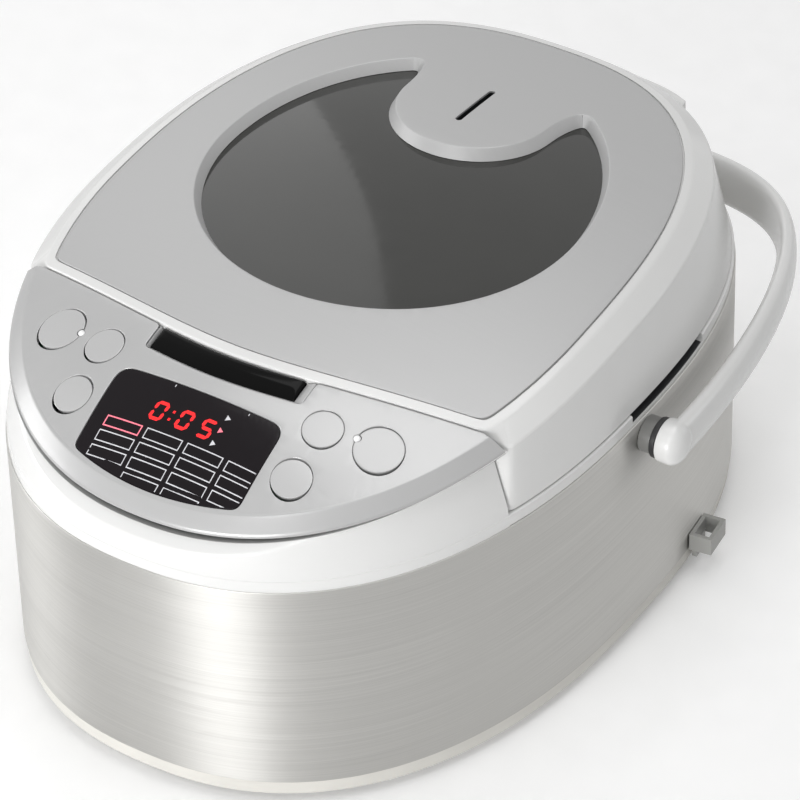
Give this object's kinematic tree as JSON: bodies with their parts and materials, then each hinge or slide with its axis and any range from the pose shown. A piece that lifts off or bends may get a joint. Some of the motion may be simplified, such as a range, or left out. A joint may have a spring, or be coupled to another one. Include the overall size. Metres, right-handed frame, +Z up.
{
  "type": "multicooker",
  "caption": "Countertop multicooker with an egg-shaped steel body, a domed flip-up lid with a round window, a sloping control panel, a push latch and a folding bail handle.",
  "frame": {"origin": "on the surface that the feet stand on, under the pivots of the carrying handle and midway between them", "axes": "+Z up, -Y towards the control panel (the front), +X to the right when the panel is faced from the front"},
  "size_m": [0.3142, 0.3997, 0.1907],
  "materials": {
    "black_rubber": "matt black rubber",
    "base_plastic": "warm light grey, satin",
    "screw_steel": "plain steel",
    "brushed_steel": "horizontal brushed lines",
    "body_plastic": "light silver-white, satin gloss",
    "chamber_aluminium": "plain",
    "plate_aluminium": "satin",
    "bowl_coating": "dark non-stick coating on an aluminium bowl",
    "board_green": "circuit board",
    "dark_plastic": "matt",
    "panel_silver": "silver paint, satin gloss",
    "display_black": "gloss black film",
    "button_silver": "silver, satin gloss",
    "light_pipe": "white light pipe",
    "gloss_black": "high gloss black",
    "brushed_aluminium": "fine brushed silver",
    "smoked_glass": "smoked",
    "clear_glass": "clear",
    "silicone": "translucent white silicone",
    "grey_plastic": "mid grey, satin"
  },
  "bodies": {
    "base": {"rubber_feet": "black_rubber", "base_tray": "base_plastic", "base_screws": "screw_steel", "steel_shell": "brushed_steel", "top_collar": "body_plastic", "bowl_deck": "body_plastic", "inner_chamber": "chamber_aluminium", "heating_plate": "plate_aluminium", "sensor_spring": "screw_steel", "cooking_bowl": "bowl_coating", "power_board": "board_green", "inlet_socket": "dark_plastic", "control_fascia": "panel_silver", "control_board": "board_green", "display_window": "display_black", "display_module": "dark_plastic", "indicator_lights": "light_pipe", "release_spring": "screw_steel", "latch_guide": "body_plastic", "hinge_tower": "body_plastic", "hinge_pin": "screw_steel", "hinge_spring": "screw_steel", "handle_bosses": "grey_plastic", "pivot_washers": "black_rubber", "pivot_pins": "screw_steel", "spoon_holder": "grey_plastic"},
    "lid": {"lid_cover": "body_plastic", "lid_plate": "brushed_aluminium", "lid_window": "smoked_glass", "lid_liner": "body_plastic", "lid_striker": "screw_steel", "inner_lid": "plate_aluminium", "inner_glass": "clear_glass", "lid_gasket": "silicone", "steam_valve": "panel_silver"},
    "handle": {"carry_handle": "body_plastic"},
    "release": {"release_bar": "gloss_black"},
    "hook": {"latch_hook": "dark_plastic"},
    "sensor": {"sensor_plunger": "plate_aluminium"},
    "start_key": {"start_button": "button_silver"},
    "delay_key": {"delay_button": "button_silver"},
    "hours_key": {"hours_button": "button_silver"},
    "minutes_key": {"minutes_button": "button_silver"},
    "temperature_key": {"temperature_button": "button_silver"},
    "menu_key": {"menu_button": "button_silver"}
  },
  "joints": [
    {"name": "lid_hinge", "type": "hinge", "parent": "base", "child": "lid", "pos_m": [0, 0.17, 0.1494], "axis": [-1, 0, 0], "range_deg": [0, 85], "deforming": ["hinge_spring"]},
    {"name": "handle_swing", "type": "hinge", "parent": "base", "child": "handle", "pos_m": [0, 0, 0.109], "axis": [1, 0, 0], "range_deg": [0, 95]},
    {"name": "release_press", "type": "slide", "parent": "base", "child": "release", "axis": [0, 0, -1], "range_m": [0, 0.003], "stiffness_N_per_m": 600, "springref_m": -0.001, "deforming": ["release_spring"]},
    {"name": "hook_slide", "type": "slide", "parent": "base", "child": "hook", "axis": [0, -1, 0], "range_m": [0, 0.003]},
    {"name": "sensor_press", "type": "slide", "parent": "base", "child": "sensor", "axis": [0, 0, -1], "range_m": [0, 0.002], "stiffness_N_per_m": 400, "springref_m": -0.001, "deforming": ["sensor_spring"]},
    {"name": "start_press", "type": "slide", "parent": "base", "child": "start_key", "axis": [-0.1915, 0.3198, -0.9279], "range_m": [0, 0.0008], "stiffness_N_per_m": 1500, "springref_m": -0.0006},
    {"name": "delay_press", "type": "slide", "parent": "base", "child": "delay_key", "axis": [0.1915, 0.3198, -0.9279], "range_m": [0, 0.0008], "stiffness_N_per_m": 1500, "springref_m": -0.0006},
    {"name": "hours_press", "type": "slide", "parent": "base", "child": "hours_key", "axis": [0.1354, 0.3187, -0.9381], "range_m": [0, 0.0008], "stiffness_N_per_m": 1500, "springref_m": -0.0006},
    {"name": "minutes_press", "type": "slide", "parent": "base", "child": "minutes_key", "axis": [0.1398, 0.4313, -0.8913], "range_m": [0, 0.0008], "stiffness_N_per_m": 1500, "springref_m": -0.0006},
    {"name": "temperature_press", "type": "slide", "parent": "base", "child": "temperature_key", "axis": [-0.1354, 0.3187, -0.9381], "range_m": [0, 0.0008], "stiffness_N_per_m": 1500, "springref_m": -0.0006},
    {"name": "menu_press", "type": "slide", "parent": "base", "child": "menu_key", "axis": [-0.1398, 0.4313, -0.8913], "range_m": [0, 0.0008], "stiffness_N_per_m": 1500, "springref_m": -0.0006}
  ],
  "couplings": [
    {"joint": "hook_slide", "follows": "release_press", "ratio": 1}
  ]
}
